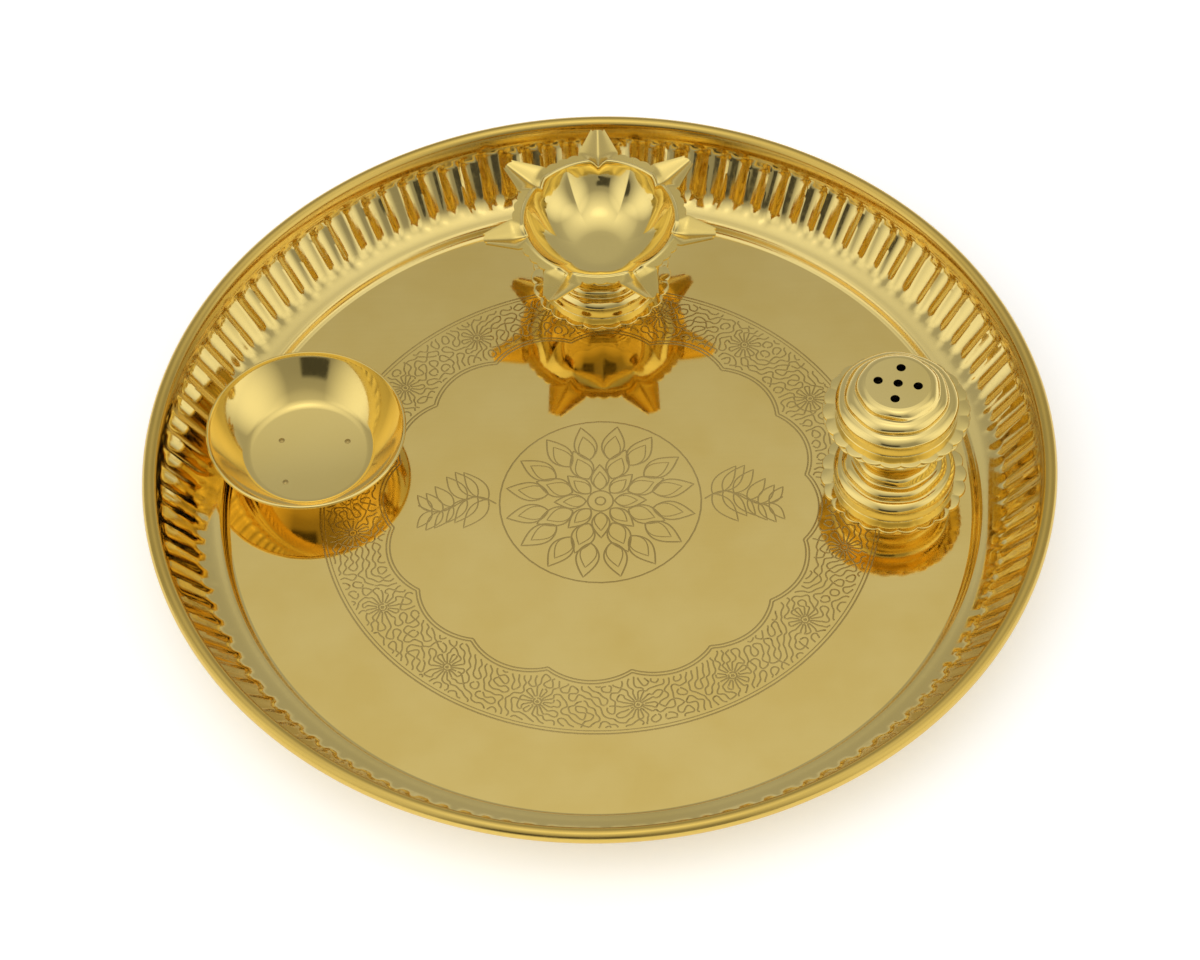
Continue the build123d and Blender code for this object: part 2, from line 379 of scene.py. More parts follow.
def flute_warp(radius, height, angles):
    """Presses the flutes outward, square to the wall's slope: scoops side by side, round at the top, running
    out to a tip at the foot."""
    place = angles * FLUTE_COUNT / (2 * math.pi)
    across = place - np.round(place)
    number = np.round(place) % FLUTE_COUNT
    across = across + FLUTE_STRAY * flute_waver(number, FLUTE_SIDE_SEED) * np.cos(math.pi * across)
    top = wall_head_height - FLUTE_TOP_GAP + FLUTE_UNEVEN * flute_waver(number, FLUTE_TOP_SEED)
    foot = wall_foot_radius + FLUTE_FOOT_GAP + FLUTE_UNEVEN * flute_waver(number, FLUTE_FOOT_SEED)
    along = np.clip((radius - foot) / (wall_inner_radius - foot), 0, 1)
    end = np.clip((top - height) / FLUTE_END, 0, 1)
    bed = np.sin(along * math.pi / 2) ** FLUTE_RUN_OUT * end * (2 - end)
    scoop = bed - (2 * across) ** 2
    scoop = (scoop + np.sqrt(scoop**2 + FLUTE_SOFT**2)) / 2 * np.clip(bed / FLUTE_SOFT, 0, 1)
    depth = FLUTE_DEPTH * (1 + FLUTE_DEPTH_STRAY_SHARE * flute_waver(number, FLUTE_DEPTH_SEED)) * scoop
    return radius + depth * math.sin(wall_tilt), height - depth * math.cos(wall_tilt)


def add_tray():
    """The tray's sheet: the fluted wall and rolled rim as one closed ring, and both faces of its floor."""
    columns = FLUTE_COUNT * FLUTE_STEPS
    upper, upper_roll = tray_face(0, TRAY_UPPER_STEPS)
    lower, lower_roll = tray_face(TRAY_SHEET, TRAY_LOWER_STEPS)
    ring = np.concatenate([upper, upper_roll[1:], lower_roll[::-1], lower[::-1][1:]])
    points = lathe(ring, columns, warp=flute_warp)
    faces = grid_faces(len(ring), columns)
    centre = len(points)
    points = np.concatenate([points, [(0, 0, TRAY_SHEET), (0, 0, 0)]])
    last = (len(ring) - 1) * columns
    for column in range(columns):
        after = (column + 1) % columns
        faces.append((centre, column, after))
        faces.append((centre + 1, last + after, last + column))
    piece = make_piece("tray_skin", points, faces, "tray", "tray")
    rows = np.arange(len(ring) - 1)
    rim = (rows >= len(upper)) & (rows < len(upper) + len(upper_roll) + len(lower_roll) - 1)
    finish = np.zeros(len(faces), np.int32)
    finish[: len(rows) * columns] = np.repeat(np.where(rim, RIM_FINISH, WALL_FINISH), columns)
    piece.data.polygons.foreach_set("material_index", finish)
    return piece


# Stamped domes

def scallop_outline(angles):
    """Radius of the scalloped flange at each angle."""
    middle = flange_radius - SCALLOP_RADIUS
    pitch = 2 * math.pi / SCALLOP_COUNT
    off = (angles + pitch / 2) % pitch - pitch / 2
    return middle * np.cos(off) + np.sqrt(SCALLOP_RADIUS**2 - (middle * np.sin(off)) ** 2)


def dome_warp(radius, height, angles):
    """Draws a dome's round flange out to its scallops, and makes its rings a little uneven."""
    share = np.clip((radius - skirt_radius) / (flange_radius - skirt_radius), 0, 1)
    share = share * (height < 2 * STAMP_SHEET)
    loose = np.clip(height / DOME_SKIRT - 1, 0, 1) * np.clip((radius - DOME_TOP_RADIUS) / ring_radius, 0, 1)
    stray = RING_STRAY * loose * np.sin(RING_WAVES * angles + height)
    stray = stray * np.cos((RING_WAVES + 1) * angles - height / 2)
    return radius + share * (scallop_outline(angles) - flange_radius) + stray, height


def softened(points):
    """Polyline with its corners cut, so that steps run into one another as in pressed sheet."""
    for _ in range(CORNER_ROUNDS):
        near = points[:-1] * (1 - CORNER_SHARE) + points[1:] * CORNER_SHARE
        far = points[:-1] * CORNER_SHARE + points[1:] * (1 - CORNER_SHARE)
        points = np.concatenate([points[:1], np.stack([near, far], 1).reshape(-1, 2), points[-1:]])
    return points


def dome_profile():
    """Profile of a dome: from its flat top's edge down the outside, round the flange and up the inside."""
    outer = []
    inner = []
    for ring in range(RING_COUNT):
        centre = (DOME_TOP_RADIUS + ring * ring_radius, dome_height - (ring + 1) * ring_radius)
        outer.append(arc(centre, ring_radius, 90, -90, RING_STEPS)[1 if ring else 0:])
        inner.append(arc(centre, RING_BORE, 90, -90, RING_STEPS))
    fold = STAMP_SHEET / 2
    root = [(skirt_radius, STAMP_SHEET + fold), (skirt_radius + fold, STAMP_SHEET)]
    edge = arc((flange_radius - fold, fold), fold, 90, -180, EDGE_STEPS)
    mouth = [(skirt_radius - STAMP_SHEET, 0)]
    outside = np.concatenate([softened(np.concatenate([*outer, root])), edge, mouth])
    return np.concatenate([outside, *[part[::-1] for part in inner[::-1]]]), len(outside)


def add_plate(points, faces, rim, holes, level, up):
    """Flat plate inside a ring of points that are there already, with round holes through it."""
    loops = [[Vector((points[i][0], points[i][1], 0)) for i in rim]]
    numbers = list(rim)
    for loop in holes:
        loops.append([Vector((x, y, 0)) for x, y in loop])
        numbers.extend(range(len(points), len(points) + len(loop)))
        points.extend((x, y, level) for x, y in loop)
    for face in tessellate_polygon(loops):
        corners = [numbers[i] for i in face]
        a, b, c = (Vector(points[i]) for i in corners)
        if (b - a).cross(c - a).z * up < 0:
            corners.reverse()
        faces.append(tuple(corners))


def add_dome(name, body, up=1, turn=0.0, pierced=False):
    """A stamped dome in the place of its CAD node, mouth down, or mouth up where up is -1."""
    low, high = node_span(name)
    centre = node_centre(name)
    columns = SCALLOP_COUNT * SCALLOP_STEPS
    profile, outside = dome_profile()
    turned = math.radians(turn)
    points = lathe(
        profile, columns, centre, low if up > 0 else high, up,
        lambda radius, height, angles: dome_warp(radius, height, angles + turned),
    ).tolist()
    faces = grid_faces(len(profile), columns)
    if up < 0:
        faces = [face[::-1] for face in faces]
    hole_loops = []
    if pierced:
        places = [(0, 0)]
        for stick in range(STICK_COUNT):
            angle = math.radians(STICK_ANGLE + 360 / STICK_COUNT * stick)
            places.append((STICK_CIRCLE_RADIUS * math.cos(angle), STICK_CIRCLE_RADIUS * math.sin(angle)))
        for x, y in places:
            hole_loops.append(circle((centre.x + x, centre.y + y), STICK_HOLE_RADIUS, HOLE_STEPS))
    last = (len(profile) - 1) * columns
    first_hole = len(points)
    add_plate(points, faces, range(columns), hole_loops, points[0][2], up)
    first_under = len(points)
    outer_faces = len(faces)
    add_plate(points, faces, range(last, last + columns), hole_loops, points[last][2], -up)
    inside_plate = len(faces) - outer_faces
    start = 0
    for loop in hole_loops:
        above = first_hole + start
        below = first_under + start
        for i in range(len(loop)):
            j = (i + 1) % len(loop)
            faces.append((above + i, above + j, below + j, below + i))
        start += len(loop)
    piece = make_piece(name + "_skin", points, faces, body, name)
    # The dome's inside, its underside plate and the walls of its holes get the painted shade.
    inside = np.zeros(len(faces), np.int32)
    inside[outside * columns: (len(profile) - 1) * columns] = PAINTED_SHADE
    inside[len(faces) - inside_plate - sum(map(len, hole_loops)):] = PAINTED_SHADE
    piece.data.polygons.foreach_set("material_index", inside)
    return piece


def add_solder(name, body):
    """Solder disc with a rounded edge, as it flows out between two stamped pieces."""
    low, high = node_span(name)
    radius = (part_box(name)[1].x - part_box(name)[0].x) / 2 / MM
    middle = (low + high) / 2
    edge = arc((radius - (high - low) / 2, middle), (high - low) / 2, 90, -180, EDGE_STEPS)
    profile = np.concatenate([[(TINY, high)], edge, [(TINY, low)]])
    points = lathe(profile, SOLDER_COLUMNS, node_centre(name))
    faces = grid_faces(len(profile), SOLDER_COLUMNS)
    return make_piece(name + "_bead", points, faces, body, name)


# Lamp

def lamp_outline(angles):
    """Radius of the lamp's edge: small petals, and a tapering, round-tipped point at each wick channel."""
    pitch = 2 * math.pi / POINT_COUNT
    off = (angles - math.pi / 2 + pitch / 2) % pitch - pitch / 2
    away = np.abs(off)
    half_point = math.asin(POINT_ROOT_WIDTH / 2 / PETAL_REACH)
    petal_pitch = (pitch - 2 * half_point) / PETALS_BETWEEN_POINTS
    from_petal = (away - half_point) % petal_pitch - petal_pitch / 2
    middle = PETAL_REACH - PETAL_RADIUS
    petal_room = np.clip(PETAL_RADIUS**2 - (middle * np.sin(from_petal)) ** 2, 0, None)
    petal_edge = middle * np.cos(from_petal) + np.sqrt(petal_room)
    taper = (POINT_ROOT_WIDTH - POINT_TIP_WIDTH) / 2 / (POINT_REACH - PETAL_REACH)
    side = (POINT_ROOT_WIDTH / 2 + taper * PETAL_REACH) / (np.sin(away) + taper * np.cos(away))
    tip_middle = POINT_REACH - POINT_TIP_WIDTH / 2
    tip_room = np.clip((POINT_TIP_WIDTH / 2) ** 2 - (tip_middle * np.sin(away)) ** 2, 0, None)
    tip = tip_middle * np.cos(away) + np.sqrt(tip_room)
    point = np.where(tip_room > 0, np.minimum(tip, side), side)
    return np.maximum(petal_edge, np.where(away < half_point, np.minimum(point, POINT_REACH), 0))


def channel_level(radius, angles):
    """Height of the folded channels above the lip's level."""
    pitch = 2 * math.pi / POINT_COUNT
    off = (angles - math.pi / 2 + pitch / 2) % pitch - pitch / 2
    reach = radius * np.cos(off)
    across = np.abs(radius * np.sin(off))
    share = np.clip((reach - PETAL_REACH) / (POINT_REACH - PETAL_REACH), 0, 1)
    half = (POINT_ROOT_WIDTH * (1 - share) + POINT_TIP_WIDTH * share) / 2
    depth = CHANNEL_DEPTH * half / (POINT_ROOT_WIDTH / 2)
    root = np.clip((reach - LIP_RADIUS) / (PETAL_REACH - LIP_RADIUS), 0, 1)
    fold = np.sqrt((across / half / (NOTCH_SHARE * (1 - root) + root)) ** 2 + CHANNEL_ROUNDING**2)
    return POINT_LIFT * share - depth * np.clip(1 - fold, 0, 1) ** CHANNEL_SHARPNESS


def lamp_grid(gap):
    """One face of the lamp's sheet, from the middle of its bottom to its edge. Heights are above its base."""
    angles = np.linspace(0, 2 * math.pi, LAMP_COLUMNS, endpoint=False)
    run = LIP_RADIUS - LAMP_BOTTOM_RADIUS
    curve = (run**2 + LAMP_DEPTH**2) / (2 * LAMP_DEPTH)
    opening = math.degrees(math.acos((curve - LAMP_DEPTH) / curve))
    across = np.linspace(TINY, LAMP_BOTTOM_RADIUS, LAMP_BOTTOM_STEPS)
    bottom = np.stack([across, np.full(LAMP_BOTTOM_STEPS, STAMP_SHEET - gap)], 1)
    side = arc((LAMP_BOTTOM_RADIUS, STAMP_SHEET + curve), curve + gap, -90, opening, LAMP_SIDE_STEPS)[1:]
    lip_level = STAMP_SHEET + LAMP_DEPTH
    bead = lip_level - gap - LIP_ROUNDING + LIP_RIDGE
    side = side[side[:, 1] < bead]
    lip = arc((side[-1][0] + LIP_ROUNDING, bead), LIP_ROUNDING, 180, -LIP_TURN, LIP_STEPS)
    profile = np.concatenate([bottom, side, lip])
    radius = np.repeat(profile[:, :1], LAMP_COLUMNS, 1)
    height = np.repeat(profile[:, 1:], LAMP_COLUMNS, 1)
    rise = np.clip((height - STAMP_SHEET + gap) / LAMP_DEPTH, 0, 1)
    crease = (1 - np.abs(np.cos(POINT_COUNT / 2 * (angles - math.pi / 2)))) ** CREASE_SHARPNESS
    near_lip = np.clip((radius - LIP_RADIUS + CHANNEL_DEPTH) / CHANNEL_DEPTH, 0, 1)
    dip = channel_level(radius, angles) * near_lip
    height = height + dip
    radius = radius - LOBE_DEPTH * crease * np.sin(math.pi * rise) + dip * NOTCH_PINCH / CHANNEL_DEPTH
    share = np.linspace(0, 1, BRIM_STEPS)[1:, None]
    out = radius[-1] * (1 - share) + lamp_outline(angles)[None, :] * share
    height = np.concatenate([height, channel_level(out, angles) + lip_level - gap])
    return np.concatenate([radius, out]), height, angles, len(profile)


def add_lamp():
    """The star-shaped lamp bowl: both faces of its sheet, and its edge. Its petals and points are satin."""
    low, _ = node_span("lamp_bowl")
    centre = node_centre("lamp_foot")
    points = []
    satin = []
    for number, gap in enumerate((0, STAMP_SHEET)):
        radius, height, angles, inside = lamp_grid(gap)
        x = centre.x + radius * np.cos(angles)
        y = centre.y + radius * np.sin(angles)
        sheet = np.stack([x, y, low + height], 2)
        points.append(sheet[::-1] if number else sheet)
        rows = np.arange(len(radius)) >= inside
        satin.append(rows[::-1] if number else rows)
    satin = np.concatenate(satin)
    faces = grid_faces(len(satin), LAMP_COLUMNS)
    points = np.concatenate(points).reshape(-1, 3)
    piece = make_piece(
        "lamp_bowl_skin", points, faces, "lamp", "lamp_bowl", VESSEL_SMOOTH_ANGLE
    )
    piece.data.polygons.foreach_set("material_index", np.repeat(satin[:-1].astype(np.int32), LAMP_COLUMNS))
    return piece


# Bowl

def add_bowl():
    """The small bowl, turned, with a bead along its lip."""
    low, _ = node_span("bowl")
    foot = Vector((BOWL_FLOOR_RADIUS, BOWL_SHEET / 2))
    edge = Vector((bowl_rim_radius - BOWL_LIP, bowl_height - BOWL_LIP))
    side = edge - foot
    belly = BOWL_BELLY_SHARE * side.length
    curve = (side.length**2 / 4 + belly**2) / (2 * belly)
    centre = foot + side / 2 + Vector((-side.y, side.x)).normalized() * (curve - belly)
    edge_angle = math.degrees(math.atan2(edge.y - centre.y, edge.x - centre.x))
    faces_of_side = []
    for height in (BOWL_SHEET, 0):
        radius = curve + BOWL_SHEET / 2 - height
        start = math.degrees(math.asin((height - centre.y) / radius))
        stop = edge_angle - math.degrees(BOWL_LIP / curve)
        faces_of_side.append(arc(centre, radius, start, stop - start, BOWL_SIDE_STEPS))
    bead = arc(edge, BOWL_LIP, edge_angle - 180 - BEAD_TUCK, 2 * BEAD_TUCK - 360, BEAD_STEPS)
    corner = faces_of_side[0][0]
    floor = [
        (TINY, BOWL_SHEET),
        (corner[0] - BOWL_CORNER, BOWL_SHEET),
        (corner[0] - BOWL_CORNER / 3, BOWL_SHEET + BOWL_CORNER_RISE),
    ]
    profile = np.concatenate([floor, faces_of_side[0][2:], bead, faces_of_side[1][::-1], [(TINY, 0)]])
    points = lathe(profile, BOWL_COLUMNS, node_centre("bowl"), low)
    faces = grid_faces(len(profile), BOWL_COLUMNS)
    return make_piece("bowl_skin", points, faces, "bowl", "bowl", VESSEL_SMOOTH_ANGLE)


def add_bowl_dents():
    """Three small dents in the bowl's floor, pressed up from below."""
    low, _ = node_span("bowl")
    centre = node_centre("bowl")
    share = np.linspace(0, 1, DENT_STEPS)
    rise = DENT_HEIGHT * np.cos(share * math.pi / 2) ** 2
    profile = np.stack([TINY + DENT_RADIUS * share, BOWL_SHEET + rise], 1)
    faces = grid_faces(DENT_STEPS, DENT_COLUMNS)
    dents = []
    for number, (x, y) in enumerate(BOWL_DENTS, 1):
        points = lathe(profile, DENT_COLUMNS, (centre.x + x, centre.y + y), low)
        dents.append(make_piece(f"bowl_dent_{number}", points, faces, "bowl", None))
    return dents


# Engraving on the floor of the tray: traditional leaf scrolls in a band, and a lotus in the middle.

class Engraving:
    """Fine lines cut in the floor, gathered into one mesh."""

    def __init__(self):
        self.points = []
        self.faces = []

    def line(self, path, width, closed=False):
        """Cut along a path, drawn as two narrow strips that meet a little above the floor."""
        path = np.asarray(path, float)
        reach = width / 2
        count = len(path)
        if closed:
            tangent = np.roll(path, -1, 0) - np.roll(path, 1, 0)
        else:
            tangent = np.gradient(path, axis=0)
        tangent /= np.maximum(np.linalg.norm(tangent, axis=1, keepdims=True), TINY)
        across = np.stack([-tangent[:, 1], tangent[:, 0]], 1)
        first = len(self.points)
        for place, side in zip(path, across):
            for offset, height in ((-1, 0.0), (0, CUT_RELIEF), (1, 0.0)):
                spot = place + side * offset * reach
                self.points.append((spot[0], spot[1], TRAY_SHEET + CUT_LIFT + height))
        for i in range(count if closed else count - 1):
            a = first + 3 * i
            b = first + 3 * ((i + 1) % count)
            self.faces.append((a, a + 1, b + 1, b))
            self.faces.append((a + 1, a + 2, b + 2, b + 1))

    def circle(self, radius, width, steps):
        """Cut round the middle of the floor."""
        self.line(circle((0, 0), radius, steps), width, closed=True)


def turned_path(path, angle, x, y):
    """A path turned by an angle in radians and moved to a place."""
    c, s = math.cos(angle), math.sin(angle)
    return np.stack([x + c * path[:, 0] - s * path[:, 1], y + s * path[:, 0] + c * path[:, 1]], 1)


def petal(length, width):
    """A pointed petal along +X, out and back."""
    share = np.linspace(0, 1, CUT_PETAL_STEPS)
    side = width / 2 * np.sin(math.pi * share**CUT_PETAL_SWELL)
    out = np.stack([length * share, side], 1)
    back = np.stack([length * share[::-1], -side[::-1]], 1)
    return np.concatenate([out, back[1:]])


def arch_reach(angles):
    """Radius of the border of arches."""
    wave = np.abs(np.sin(ARCH_COUNT / 2 * (angles - math.radians(ARCH_START))))
    return ARCH_CUSP_RADIUS + (ARCH_TOP_RADIUS - ARCH_CUSP_RADIUS) * wave**ARCH_SWELL


def leaf_field(x, y):
    """Field whose zero lines curl like leaf scrolls: waves of one length, with rayed flowers among them."""
    field = np.zeros_like(x)
    for turn, phase in np.random.default_rng(LEAF_SEED).uniform(0, 2 * math.pi, (LEAF_WAVES, 2)):
        field += np.cos(2 * math.pi / LEAF_WAVE * (x * math.cos(turn) + y * math.sin(turn)) + phase)
    field *= math.sqrt(2 / LEAF_WAVES)
    for number in range(FLOWER_COUNT):
        angle = math.radians(FLOWER_START) + 2 * math.pi * number / FLOWER_COUNT
        right = x - FLOWER_CIRCLE * math.cos(angle)
        ahead = y - FLOWER_CIRCLE * math.sin(angle)
        away = np.hypot(right, ahead)
        rays = np.cos(FLOWER_PETALS * np.arctan2(ahead, right))
        flower = np.where(away < FLOWER_EYE, np.cos(2 * math.pi * away / FLOWER_EYE), rays)
        share = np.clip(FLOWER_RADIUS - away, 0, 1)
        field = field * (1 - share) + flower * share
    return field


def zero_lines(field, inside):
    """Chains of grid places along which a field crosses zero. The grid's columns close into a ring."""
    rows, columns = field.shape
    above = field > 0
    links = {}
    for row in range(rows - 1):
        for column in range(columns):
            after = (column + 1) % columns
            corners = ((row, column), (row, after), (row + 1, after), (row + 1, column))
            if not all(inside[corner] for corner in corners):
                continue
            sides = zip(corners, corners[1:] + corners[:1])
            crossed = [tuple(sorted(side)) for side in sides if above[side[0]] != above[side[1]]]
            for one, other in zip(crossed[::2], crossed[1::2]):
                links.setdefault(one, []).append(other)
                links.setdefault(other, []).append(one)
    chains = []
    for start in sorted(links, key=lambda place: len(links[place])):
        chain = [start]
        while chain[-1] in links:
            ahead = [place for place in links.pop(chain[-1]) if place in links]
            chain.extend(ahead[:1])
        if len(chain) > SHORTEST_CHAIN:
            chains.append(chain)
    return chains


def cut_band(cuts):
    """The ring of leaf scrolls and flowers between a circle and a border of arches."""
    cuts.circle(BAND_OUTER_RADIUS, CUT_WIDTH, BAND_STEPS)
    cuts.circle(BAND_OUTER_RADIUS - BAND_LINE_GAP, CUT_WIDTH * INNER_LINE_SHARE, BAND_STEPS)
    angles = np.linspace(0, 2 * math.pi, ARCH_COUNT * ARCH_STEPS, endpoint=False)
    for gap in (0, BAND_LINE_GAP):
        reach = arch_reach(angles) + gap
        cuts.line(np.stack([reach * np.cos(angles), reach * np.sin(angles)], 1), CUT_WIDTH, closed=True)
    reaches = np.arange(ARCH_CUSP_RADIUS, BAND_OUTER_RADIUS, LEAF_STEP)
    columns = int(2 * math.pi * BAND_OUTER_RADIUS / LEAF_STEP)
    turns = np.linspace(0, 2 * math.pi, columns, endpoint=False)
    reach, turn = np.meshgrid(reaches, turns, indexing="ij")
    inside = reach > arch_reach(turn) + BAND_LINE_GAP + BAND_MARGIN
    inside &= reach < BAND_OUTER_RADIUS - BAND_LINE_GAP - BAND_MARGIN
    x, y = reach * np.cos(turn), reach * np.sin(turn)
    field = leaf_field(x, y)
    for chain in zero_lines(field, inside):
        path = []
        for one, other in chain:
            share = field[one] / (field[one] - field[other])
            path.append((x[one] + share * (x[other] - x[one]), y[one] + share * (y[other] - y[one])))
        cuts.line(path, CUT_WIDTH)


def cut_lotus(cuts):
    """An open lotus in the middle of the floor, with a spray of leaves to each side."""
    for reach, length, width, count, start in LOTUS_RINGS:
        for number in range(count):
            angle = math.radians(start) + 2 * math.pi * number / count
            x, y = reach * math.cos(angle), reach * math.sin(angle)
            for inset in LOTUS_INSETS:
                cuts.line(turned_path(petal(length * inset, width * inset), angle, x, y), CUT_WIDTH * inset)
    for radius in LOTUS_CIRCLES:
        cuts.circle(radius, CUT_WIDTH, LOTUS_CIRCLE_STEPS)
    for side in (-1, 1):
        share = np.linspace(0, 1, SPRAY_STEPS)
        sway = SPRAY_RISE * np.sin(share * 2 * math.pi) / 2
        stem = np.stack([side * (SPRAY_START + SPRAY_LENGTH * share), sway], 1)
        cuts.line(stem, CUT_WIDTH)
        for number in range(SPRAY_LEAVES):
            x, y = stem[SPRAY_FIRST_LEAF + number * SPRAY_LEAF_RUN // SPRAY_LEAVES]
            for lean in (-SPRAY_LEAN, SPRAY_LEAN):
                angle = math.radians(lean) if side > 0 else math.pi - math.radians(lean)
                size = SPRAY_LEAF * (1 - SPRAY_LEAF_TAPER * number / SPRAY_LEAVES)
                leaf = petal(size, size * SPRAY_LEAF_WIDTH)
                cuts.line(turned_path(leaf, angle, x, y), CUT_WIDTH * SPRAY_CUT_SHARE)


def add_engraving():
    """All the cuts in the floor, as one piece on the tray."""
    cuts = Engraving()
    cut_band(cuts)
    cut_lotus(cuts)
    return make_piece("floor_engraving", cuts.points, cuts.faces, "tray", None, ALL_SMOOTH)


# Materials

def node_tree(name):
    """New material with an empty tree, its output and its shader."""
    material = bpy.data.materials.new(name)
    material.use_nodes = True
    tree = material.node_tree
    tree.nodes.clear()
    output = tree.nodes.new("ShaderNodeOutputMaterial")
    shader = tree.nodes.new("ShaderNodeBsdfPrincipled")
    tree.links.new(shader.outputs["BSDF"], output.inputs["Surface"])
    return material, tree, shader


def noise_at(tree, coordinate, scale, stretch, detail):
    """Noise over stretched object coordinates."""
    mapping = tree.nodes.new("ShaderNodeMapping")
    mapping.inputs["Scale"].default_value = stretch
    tree.links.new(coordinate, mapping.inputs["Vector"])
    noise = tree.nodes.new("ShaderNodeTexNoise")
    noise.inputs["Scale"].default_value = scale
    noise.inputs["Detail"].default_value = detail
    tree.links.new(mapping.outputs["Vector"], noise.inputs["Vector"])
    return noise.outputs["Fac"]


def ranged(tree, value, low, high, start=NOISE_LOW, stop=NOISE_HIGH):
    """Value spread over a range."""
    spread = tree.nodes.new("ShaderNodeMapRange")
    spread.inputs["From Min"].default_value = start
    spread.inputs["From Max"].default_value = stop
    spread.inputs["To Min"].default_value = low
    spread.inputs["To Max"].default_value = high
    tree.links.new(value, spread.inputs["Value"])
    return spread.outputs["Result"]


def calculated(tree, operation, *values):
    """Result of a sum, a product or the like, of numbers or of other nodes' values."""
    step = tree.nodes.new("ShaderNodeMath")
    step.operation = operation
    for socket, value in zip(step.inputs, values):
        if isinstance(value, float):
            socket.default_value = value
        else:
            tree.links.new(value, socket)
    return step.outputs["Value"]


def brass(name, bright, dull, roughness, stretch, relief, lacquer=0.5, tarnish_scale=18.0, mark_scale=900.0):
    """Lacquered brass with faint tarnish, and with fine polishing marks that run one way."""
    material, tree, shader = node_tree(name)
    coordinate = tree.nodes.new("ShaderNodeTexCoord").outputs["Object"]
    tarnish = noise_at(tree, coordinate, tarnish_scale, EVEN, TARNISH_DETAIL)
    marks = noise_at(tree, coordinate, mark_scale, stretch, MARK_DETAIL)
    mix = tree.nodes.new("ShaderNodeMix")
    mix.data_type = "RGBA"
    mix.inputs["A"].default_value = (*bright, 1)
    mix.inputs["B"].default_value = (*dull, 1)
    tree.links.new(ranged(tree, tarnish, 0, 1), mix.inputs["Factor"])
    tree.links.new(mix.outputs["Result"], shader.inputs["Base Color"])
    spread = ranged(tree, marks, roughness * ROUGHNESS_LEAST, roughness * ROUGHNESS_MOST)
    tree.links.new(spread, shader.inputs["Roughness"])
    shader.inputs["Metallic"].default_value = 1.0
    shader.inputs["Coat Weight"].default_value = lacquer
    shader.inputs["Coat Roughness"].default_value = COAT_ROUGHNESS
    bump = tree.nodes.new("ShaderNodeBump")
    bump.inputs["Strength"].default_value = relief
    bump.inputs["Distance"].default_value = MARK_DEPTH * MM
    tree.links.new(marks, bump.inputs["Height"])
    tree.links.new(bump.outputs["Normal"], shader.inputs["Normal"])
    return material


def paint(objects, *materials):
    """Gives objects their materials, in the order by which their faces are marked."""
    for thing in objects:
        for material in materials:
            thing.data.materials.append(material)


# Build

tray_skin = add_tray()
engraving = add_engraving()
lamp_bowl_skin = add_lamp()
lamp_foot_skin = add_dome("lamp_foot", "lamp")
bowl_skin = add_bowl()
dents = add_bowl_dents()
stand_foot_skin = add_dome("stand_foot", "stand")
stand_cup_skin = add_dome("stand_cup", "stand", up=-1, turn=CUP_TURN)
stand_cap_skin = add_dome("stand_cap", "stand", pierced=True)
solders = [add_solder("lamp_solder", "lamp"), add_solder("stand_solder", "stand")]

# Each finish: bright and dull colour, roughness, run and relief of the polishing marks, and lacquer.
tray_brass = brass(
    "tray_brass", (0.89, 0.67, 0.21), (0.85, 0.62, 0.17), 0.055, ALONG_X, 0.14, tarnish_scale=40.0
)
wall_brass = brass("wall_brass", (0.86, 0.675, 0.24), (0.82, 0.63, 0.20), 0.12, UPRIGHT, 0.08)
lamp_brass = brass("lamp_brass", (0.90, 0.71, 0.25), (0.87, 0.68, 0.22), 0.08, UPRIGHT, 0.08)
stamped_brass = brass("stamped_brass", (0.91, 0.72, 0.26), (0.87, 0.67, 0.21), 0.07, UPRIGHT, 0.08)
bowl_brass = brass("bowl_brass", (0.90, 0.70, 0.24), (0.87, 0.66, 0.20), 0.07, UPRIGHT, 0.08)
satin_brass = brass(
    "satin_brass", (0.89, 0.68, 0.22), (0.86, 0.65, 0.19), 0.20, EVEN, 0.0, 0.2, mark_scale=SATIN_MARK_SCALE
)
rim_brass = brass(
    "rim_brass", (0.71, 0.50, 0.12), (0.67, 0.46, 0.10), 0.18, EVEN, 0.0, 0.1, mark_scale=SATIN_MARK_SCALE
)
# Painted shade: near-black brass for the insides of the closed domes, which lie in shade.
inside_shade_brass = brass("inside_shade_brass", (0.20, 0.15, 0.07), (0.09, 0.07, 0.04), 0.45, EVEN, 0.3, 0.0)
solder_brass = brass("solder_brass", (0.66, 0.56, 0.33), (0.52, 0.42, 0.22), 0.32, EVEN, 0.5)
# Painted shade: a darker brass for the engraved lines and the bowl's dents, for the shade in grooves and
# hollows.
cut_and_dent_shade_brass = brass("cut_and_dent_shade_brass", (0.54, 0.40, 0.14), (0.45, 0.32, 0.10), 0.30, EVEN, 0.3, 0.0)
for node in nodes.values():
    node.data.materials.clear()
paint([tray_skin], tray_brass, wall_brass, rim_brass)
paint([nodes["tray"]], tray_brass)
# The engraving and the dents take the darker brass of painted shade.
paint([engraving, *dents], cut_and_dent_shade_brass)
paint([lamp_bowl_skin], lamp_brass, satin_brass)
paint([nodes["lamp_bowl"]], lamp_brass)
paint([lamp_foot_skin, stand_foot_skin, stand_cup_skin, stand_cap_skin], stamped_brass, inside_shade_brass)
paint([nodes[name] for name in ("lamp_foot", "stand_foot", "stand_cup", "stand_cap")], stamped_brass)
paint([bowl_skin, nodes["bowl"]], bowl_brass)
paint([*solders, nodes["lamp_solder"], nodes["stand_solder"]], solder_brass)


# Floor, light and camera

